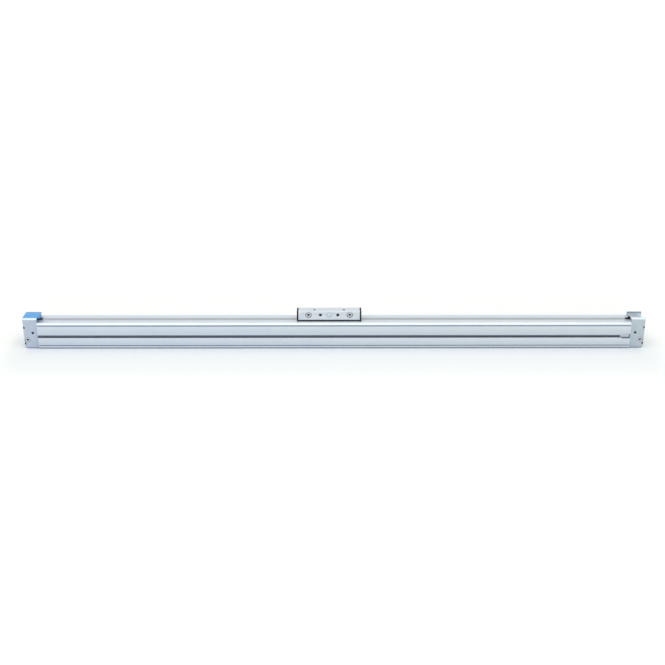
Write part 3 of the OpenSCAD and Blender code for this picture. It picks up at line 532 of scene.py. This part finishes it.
class Tree:
    """A Geometry Nodes tree under construction, with named inputs for its sizes."""

    def __init__(self, name, sizes):
        self.group = bpy.data.node_groups.new(name, "GeometryNodeTree")
        face = self.group.interface
        face.new_socket("Places", in_out="INPUT", socket_type="NodeSocketGeometry")
        for size in sizes:
            face.new_socket(size, in_out="INPUT", socket_type="NodeSocketFloat")
        face.new_socket("Finish", in_out="INPUT", socket_type="NodeSocketMaterial")
        face.new_socket("Geometry", in_out="OUTPUT", socket_type="NodeSocketGeometry")
        self.given = self.node("NodeGroupInput").outputs

    def node(self, kind, values=None, **settings):
        return add_node(self.group, kind, values, **settings)

    def sum(self, *terms):
        """Sum of numbers and sockets, each with its own factor."""
        total = 0.0
        for value, factor in terms:
            total = self.node("ShaderNodeMath", {0: value, 1: factor, 2: total},
                              operation="MULTIPLY_ADD").outputs[0]
        return total

    def lifted(self, shape, height):
        """Move a shape up by a height, or down by a negative one."""
        lift = self.node("ShaderNodeCombineXYZ", {"Z": height}).outputs[0]
        return self.node("GeometryNodeTransform", {"Geometry": shape, "Translation": lift}).outputs[0]

    def rod(self, diameter, length, middle, sides):
        """A round or many-sided rod, with its middle at a height."""
        values = {"Vertices": sides, "Radius": self.sum((diameter, 0.5)), "Depth": length}
        return self.lifted(self.node("GeometryNodeMeshCylinder", values).outputs["Mesh"], middle)

    def cone(self, top_radius, foot_radius, length, foot):
        """A blunt cone that stands with its foot at a height."""
        values = {"Vertices": ROUND_SIDES, "Radius Top": top_radius, "Radius Bottom": foot_radius,
                  "Depth": length}
        return self.lifted(self.node("GeometryNodeMeshCone", values).outputs["Mesh"], foot)

    def combined(self, how, first, second):
        """Two solids made into one: what both hold, or what either holds."""
        both = self.node("GeometryNodeMeshBoolean", {"Mesh 2": first}, operation=how)
        fill(self.group, both, {"Mesh 2": second})
        return both.outputs["Mesh"]

    def swept(self, line, outline):
        """A closed solid along a line, with its outline kept upright."""
        level = self.node("GeometryNodeSetCurveNormal", {"Curve": line}, mode="Z_UP").outputs[0]
        values = {"Curve": level, "Profile Curve": outline, "Fill Caps": True}
        return self.node("GeometryNodeCurveToMesh", values).outputs[0]

    def placed(self, shape):
        """Put a shape on each place, with its top towards the way that the place faces."""
        aim = self.node("GeometryNodeInputNamedAttribute", {"Name": "aim"}, data_type="FLOAT_VECTOR")
        turn = self.node("FunctionNodeEulerToRotation", {"Euler": aim.outputs["Attribute"]})
        values = {"Points": self.given["Places"], "Instance": shape, "Rotation": turn.outputs[0]}
        return self.node("GeometryNodeInstanceOnPoints", values).outputs["Instances"]

    def end(self, shape):
        real = self.node("GeometryNodeRealizeInstances", {"Geometry": shape}).outputs[0]
        dressed = self.node("GeometryNodeSetMaterial", {"Geometry": real, "Material": self.given["Finish"]})
        self.node("NodeGroupOutput", {"Geometry": dressed.outputs[0]})
        return self.group


def socket_screw_tree():
    """A hexagon socket screw on each place: chamfered head, shank below it, countersunk socket.

    Cones for chamfers stand a spare length past the face. The countersink is a rim wider than the
    socket's corners at the face, and its foot lies at the sink depth.
    """
    t = Tree("socket_screw", ["Head Diameter", "Head Height", "Shank Diameter", "Length",
                              "Socket Width", "Socket Depth", "Edge"])
    head_d, head_h, length = t.given["Head Diameter"], t.given["Head Height"], t.given["Length"]
    spare, rim, sink = 0.4 * MM, 0.2 * MM, 0.7 * MM
    head = t.rod(head_d, head_h, t.sum((head_h, -0.5)), ROUND_SIDES)
    top_r = t.sum((head_d, 0.5), (t.given["Edge"], -1.0), (1.0, -spare))
    foot_r = t.sum((top_r, 1.0), (head_h, 1.0), (2.0, spare))
    taper = t.cone(top_r, foot_r, t.sum((head_h, 1.0), (2.0, spare)), t.sum((head_h, -1.0), (1.0, -spare)))
    shank = t.rod(t.given["Shank Diameter"], t.sum((length, 1.0), (head_h, -0.5)),
                  t.sum((length, -0.5), (head_h, -0.25)), SHANK_SIDES)
    solid = t.combined("UNION", t.combined("INTERSECT", head, taper), shank)
    corner_d = t.sum((t.given["Socket Width"], 1.0 / math.cos(math.radians(30.0))))
    socket = t.rod(corner_d, t.sum((t.given["Socket Depth"], 2.0)), 0.0, 6)
    mouth_top = t.sum((corner_d, 0.5), (1.0, rim + spare))
    mouth_foot = t.sum((corner_d, 0.5), (1.0, rim - sink))
    mouth = t.cone(mouth_top, mouth_foot, sink + spare, -sink)
    cut = t.node("GeometryNodeMeshBoolean", {"Mesh 1": solid, "Mesh 2": socket}, operation="DIFFERENCE")
    fill(t.group, cut, {"Mesh 2": mouth})
    return t.end(t.placed(cut.outputs["Mesh"]))


def band_tree():
    """A flat band swept along a line, with its long edges broken."""
    t = Tree("flat_band", ["Width", "Thickness", "Edge"])
    line = t.node("GeometryNodeMeshToCurve", {"Mesh": t.given["Places"]})
    outline = t.node("GeometryNodeCurvePrimitiveQuadrilateral",
                     {"Width": t.given["Width"], "Height": t.given["Thickness"]})
    broken = t.node("GeometryNodeFilletCurve", {"Curve": outline.outputs[0], "Radius": t.given["Edge"],
                                                "Count": 2}, mode="POLY")
    return t.end(t.swept(line.outputs[0], broken.outputs[0]))


def thread_tree():
    """A ridge that winds down into a tapped hole from each place, its half width a share of the pitch."""
    t = Tree("tapped_thread", ["Core Diameter", "Pitch", "Turns", "Start"])
    pitch, turns = t.given["Pitch"], t.given["Turns"]
    radius = t.sum((t.given["Core Diameter"], 0.5))
    drop = t.sum((pitch, turns))
    helix = t.node("GeometryNodeCurveSpiral", {"Resolution": THREAD_POINTS, "Rotations": turns,
                                               "Start Radius": radius, "End Radius": radius,
                                               "Height": drop, "Reverse": True})
    outline = t.node("GeometryNodeCurvePrimitiveCircle",
                     {"Resolution": 4, "Radius": t.sum((pitch, RIDGE_SHARE))}, mode="RADIUS")
    ridge = t.swept(helix.outputs[0], outline.outputs[0])
    return t.end(t.placed(t.lifted(ridge, t.sum((drop, -1.0), (t.given["Start"], -1.0)))))


SOCKET_SCREW = socket_screw_tree()
FLAT_BAND = band_tree()
TAPPED_THREAD = thread_tree()


def grown(name, tree, seed_mesh, finish, **sizes):
    """Run a node tree on a seed mesh and keep its result as a plain mesh."""
    seed_mesh.materials.append(finish)
    piece = added(name, seed_mesh)
    modifier = piece.modifiers.new(tree.name, "NODES")
    modifier.node_group = tree
    sockets = {item.name: item.identifier for item in tree.interface.items_tree}
    modifier[sockets["Finish"]] = finish
    for size, value in sizes.items():
        modifier[sockets[size.replace("_", " ")]] = value
    return baked(piece)


# ---------------------------------------------------------------- screws

SIDES = (("left", "-x"), ("right", "+x"))
AIM = {
    "+x": (0.0, math.pi / 2, 0.0),
    "-x": (0.0, -math.pi / 2, 0.0),
    "+y": (-math.pi / 2, 0.0, 0.0),
    "-y": (math.pi / 2, 0.0, 0.0),
    "+z": (0.0, 0.0, 0.0),
    "-z": (math.pi, 0.0, 0.0),
}
CAP_HEAD = 7.0 * MM
CLAMP_HEAD = 4.6 * MM


def seed_of(name, places):
    """Points for a node tree, each with the way it faces."""
    seed = bpy.data.meshes.new(name + "_seed")
    seed.from_pydata([spot for spot, _ in places], [], [])
    aims = seed.attributes.new("aim", "FLOAT_VECTOR", "POINT")
    for i, (_, way) in enumerate(places):
        aims.data[i].vector = AIM[way]
    return seed


def screw_set(node, places, length, head_d, head_h, shank_d, socket, socket_depth, edge):
    """The screws of one node: a place is a head's top centre and the way it faces."""
    piece = grown(node + "_turned", SOCKET_SCREW, seed_of(node, places), finish_of(node),
                  Head_Diameter=head_d, Head_Height=head_h, Shank_Diameter=shank_d, Length=length,
                  Socket_Width=socket, Socket_Depth=socket_depth, Edge=edge)
    stand_for(piece, node)


def cap_screw_places(node, way, radius):
    low, high = box_of(node, (0.0, radius, radius))
    x = high.x if way == "+x" else low.x
    return [((x, y, z), way) for y in (low.y, high.y) for z in (low.z, high.z)]


def clamp_screw_places(node, radius):
    low, high = box_of(node, (radius, radius, 0.0))
    return [((low.x, y, high.z), "+z") for y in (low.y, high.y)]


def two_sided_places(node, radius):
    """Places on the front and the back of a node's box, at its ends."""
    low, high = box_of(node, (radius, 0.0, radius))
    across = sorted({round(low.x, 6), round(high.x, 6)})
    return [((x, y, low.z), way) for x in across for y, way in ((low.y, "-y"), (high.y, "+y"))]


def depth_of(node):
    """How deep a node's pieces reach in from the front."""
    return min(abs(v.co.y) for v in NODES[node].data.vertices)


for word, way in SIDES:
    node = word + "_cap_screws"
    low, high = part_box(node)
    screw_set(node, cap_screw_places(node, way, CAP_HEAD / 2), high.x - low.x, head_d=CAP_HEAD,
              head_h=2.8 * MM, shank_d=4.0 * MM, socket=3.0 * MM, socket_depth=1.6 * MM, edge=0.4 * MM)

    node = word + "_clamp_screws"
    low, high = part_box(node)
    screw_set(node, clamp_screw_places(node, CLAMP_HEAD / 2), high.z - low.z, head_d=CLAMP_HEAD,
              head_h=1.4 * MM, shank_d=2.5 * MM, socket=2.0 * MM, socket_depth=0.8 * MM, edge=0.25 * MM)

    node = word + "_port_plugs"
    low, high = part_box(node)
    plug_d = high.z - low.z
    plug_l = high.y - depth_of(node)
    screw_set(node, two_sided_places(node, plug_d / 2)[-2:], 0.8 * plug_l, head_d=plug_d, head_h=plug_l,
              shank_d=0.5 * plug_d, socket=4.0 * MM, socket_depth=4.4 * MM, edge=0.3 * MM)

    node = word + "_cushion_screw"
    low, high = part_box(node)
    needle_d = high.z - low.z
    needle_l = high.y - low.y
    middle = ((low.x + high.x) / 2, low.y, (low.z + high.z) / 2)
    screw_set(node, [(middle, "-y")], 0.8 * needle_l, head_d=needle_d, head_h=needle_l,
              shank_d=0.5 * needle_d, socket=2.0 * MM, socket_depth=2.0 * MM, edge=0.3 * MM)

low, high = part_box("carriage_screws")
side_head_d = high.z - low.z
screw_set("carriage_screws", two_sided_places("carriage_screws", side_head_d / 2),
          high.y - depth_of("carriage_screws"), head_d=side_head_d, head_h=1.5 * MM, shank_d=5.0 * MM,
          socket=4.0 * MM, socket_depth=2.2 * MM, edge=0.45 * MM)

# ---------------------------------------------------------------- threads

MOUNTS = {mount["name"]: mount for mount in frame["record"]["mounts"]}


def threads(name, node, mount, way, pitch, depth, finish):
    """The thread in each hole of a mount, from the node's face down to a depth."""
    spot, dims = Vector(MOUNTS[mount]["pos_m"]), MOUNTS[mount]["dims"]
    step = Vector((dims.get("spacing_x_mm", 0.0), dims.get("spacing_y_mm", 0.0), 0.0)) * MM
    radius = dims.get("hole_r_mm", dims.get("r_mm")) * MM
    low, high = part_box(node)
    if way in ("-x", "+x"):
        spot.x = low.x if way == "-x" else high.x
    places = [(spot + step * k, way) for k in ((-0.5, 0.5) if dims.get("count") else (0.0,))]
    start = 0.9 * pitch
    quarters = math.floor((depth - start - pitch) / pitch * 4)
    piece = grown(name, TAPPED_THREAD, seed_of(name, places), finish, Core_Diameter=2 * radius, Pitch=pitch,
                  Turns=quarters / 4, Start=start)
    ride_with(piece, node)


for word, way in SIDES:
    cap = word + "_end_cap"
    threads(word + "_port_thread", cap, word + "_supply_port", way, pitch=0.907 * MM, depth=11.0 * MM,
            finish=TAPPED_SHADED_SKIN)
    threads(word + "_foot_threads", cap, word + "_foot_holes", "-z", pitch=0.8 * MM, depth=7.0 * MM,
            finish=TAPPED_SHADED_SKIN)
threads("carriage_top_threads", "carriage_body", "carriage_top_holes", "+z", pitch=1.0 * MM, depth=8.0 * MM,
        finish=MACHINED_SKIN)

# ---------------------------------------------------------------- bands

BAND_THICK = 0.6 * MM
BAND_EDGE = 0.12 * MM
RAMP_STEPS = 14


def wave_line(level_out, level_in, flat, ramp):
    """Height of a band on one side of the carriage, from its middle outwards."""
    line = [(0.0, level_in)]
    for i in range(RAMP_STEPS + 1):
        t = i / RAMP_STEPS
        line.append((flat + ramp * t, level_in + (level_out - level_in) * (1 - math.cos(math.pi * t)) / 2))
    return line


def band_half(name, node, side, flat, ramp):
    """One half of a band: straight from the cap, then the wave that the carriage carries."""
    low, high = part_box(node)
    body_low, body_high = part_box("carriage_body")
    middle = (body_low.x + body_high.x) / 2
    under, over = low.z + BAND_THICK / 2, high.z - BAND_THICK / 2
    level_out, level_in = (under, over) if node == "outer_cover_band" else (over, under)
    end = high.x - side * middle
    line = wave_line(level_out, level_in, flat, ramp) + [(end, level_out)]
    seed = bpy.data.meshes.new(name + "_line")
    seed.from_pydata([(middle + side * x, 0.0, z) for x, z in line],
                     [(i, i + 1) for i in range(len(line) - 1)], [])
    piece = grown(name, FLAT_BAND, seed, finish_of(node), Width=high.y - low.y, Thickness=BAND_THICK,
                  Edge=BAND_EDGE)
    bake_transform(piece)
    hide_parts(node)


for side, word in ((-1, "left"), (1, "right")):
    band_half("outer_band_" + word, "outer_cover_band", side, flat=44.3 * MM, ramp=8.5 * MM)
    band_half("inner_band_" + word, "inner_seal_band", side, flat=24.5 * MM, ramp=18.0 * MM)

# ---------------------------------------------------------------- eased solids

eased("profile_barrel", 0.18 * MM)
for word, _ in SIDES:
    eased(word + "_end_cap", 0.5 * MM, 3)
    eased(word + "_wiper", 0.3 * MM)
    eased(word + "_band_clamp", 0.2 * MM)
    eased(word + "_band_guide", 0.2 * MM)
eased("left_band_cover", 0.45 * MM, 3)
eased("carriage_body", 0.3 * MM, 3)
eased("centre_plugs", 0.3 * MM)
eased("front_slide_strip", 0.25 * MM)
eased("rear_slide_strip", 0.25 * MM)

# ---------------------------------------------------------------- light and floor

FLOOR_HALF = 6.0
FLOOR_PAINT = (0.78, 0.82, 0.87, 1.0)
FLOOR_GLOW_TINT = (1.0, 0.94, 0.62, 1.0)
# The distance from the cylinder's outline counts three times along x, where the outline is drawn in a little.
GLOW_INSET = 12.0 * MM
GLOW_REACH = (3.0, 1.0, 1.0)
# Pairs of such a distance in metres and the floor's glow there; the faint glow near the cylinder paints a
# soft shadow round it.
FLOOR_GLOW = [(0.002, 0.0), (0.010, 0.06), (0.033, 0.135), (0.097, 0.17),
              (0.15, 0.24), (0.5, 0.36), (2.2, 0.72), (4.5, 1.3)]
WORLD_LEVEL = 0.66


def seen_only(tree):
    """1 for rays that show a thing to the camera, straight, in a mirror or through glass."""
    path = add_node(tree, "ShaderNodeLightPath").outputs
    either = add_node(tree, "ShaderNodeMath", {0: path["Is Camera Ray"], 1: path["Is Glossy Ray"]},
                      operation="MAXIMUM").outputs[0]
    return add_node(tree, "ShaderNodeMath", {0: either, 1: path["Is Transmission Ray"]},
                    operation="MAXIMUM").outputs[0]


def floor_material():
    """Pale floor that keeps the part's real shadow, and whose glow, faint next to the part and stronger away
    from it, paints a soft shadow round it.
    """
    material = bpy.data.materials.new("studio_floor")
    material.use_nodes = True
    tree = material.node_tree
    tree.nodes.clear()

    def vector(how, *values):
        return add_node(tree, "ShaderNodeVectorMath", dict(enumerate(values)), operation=how).outputs

    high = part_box("right_end_cap")[1]
    place = add_node(tree, "ShaderNodeTexCoord").outputs["Object"]
    size = vector("ABSOLUTE", place)["Vector"]
    past = vector("SUBTRACT", size, (high.x - GLOW_INSET, high.y, 0.0))["Vector"]
    wider = vector("MULTIPLY", past, GLOW_REACH)["Vector"]
    clear = vector("MAXIMUM", wider, (0.0, 0.0, 0.0))["Vector"]
    away = vector("LENGTH", clear)["Value"]
    level = 0.0
    for (near, dim), (far, bright) in zip(FLOOR_GLOW, FLOOR_GLOW[1:]):
        rise = add_node(tree, "ShaderNodeMapRange", {"Value": away, "From Min": near, "From Max": far,
                                                     "To Max": bright - dim}).outputs["Result"]
        level = add_node(tree, "ShaderNodeMath", {0: rise, 1: level}, operation="ADD").outputs[0]
    strength = add_node(tree, "ShaderNodeMath", {0: seen_only(tree), 1: level}, operation="MULTIPLY")
    glow = add_node(tree, "ShaderNodeEmission", {"Color": FLOOR_GLOW_TINT, "Strength": strength.outputs[0]})
    matt = add_node(tree, "ShaderNodeBsdfDiffuse", {"Color": FLOOR_PAINT})
    both = add_node(tree, "ShaderNodeAddShader", {0: matt.outputs[0], 1: glow.outputs[0]})
    add_node(tree, "ShaderNodeOutputMaterial", {"Surface": both.outputs[0]})
    return material


def lay_floor():
    mesh = bpy.data.meshes.new("floor")
    s = FLOOR_HALF
    mesh.from_pydata([(-s, -s, 0.0), (s, -s, 0.0), (s, s, 0.0), (-s, s, 0.0)], [], [(0, 1, 2, 3)])
    mesh.materials.append(floor_material())
    added("floor", mesh)


def light_world():
    """White where it is seen or mirrored, and dimmer as the light that falls on matt skins."""
    world = bpy.data.worlds.new("studio_world")
    world.use_nodes = True
    tree = world.node_tree
    tree.nodes.clear()
    level = add_node(tree, "ShaderNodeMapRange", {"Value": seen_only(tree), "To Min": WORLD_LEVEL,
                                                  "To Max": 1.0}).outputs["Result"]
    sky = add_node(tree, "ShaderNodeBackground", {"Color": (*WHITE, 1.0), "Strength": level})
    add_node(tree, "ShaderNodeOutputWorld", {"Surface": sky.outputs[0]})
    bpy.context.scene.world = world


def soft_box(name, place, target, size, power):
    data = bpy.data.lights.new(name, "AREA")
    data.shape = "RECTANGLE"
    data.size, data.size_y = size
    data.energy = power
    lamp = added(name, data)
    lamp.location = place
    lamp.rotation_euler = (Vector(target) - Vector(place)).to_track_quat("-Z", "Y").to_euler()


lay_floor()
light_world()
soft_box("over_front", place=(0.0, -0.75, 1.9), target=(0.0, 0.0, 0.0), size=(5.0, 1.8), power=29.0)
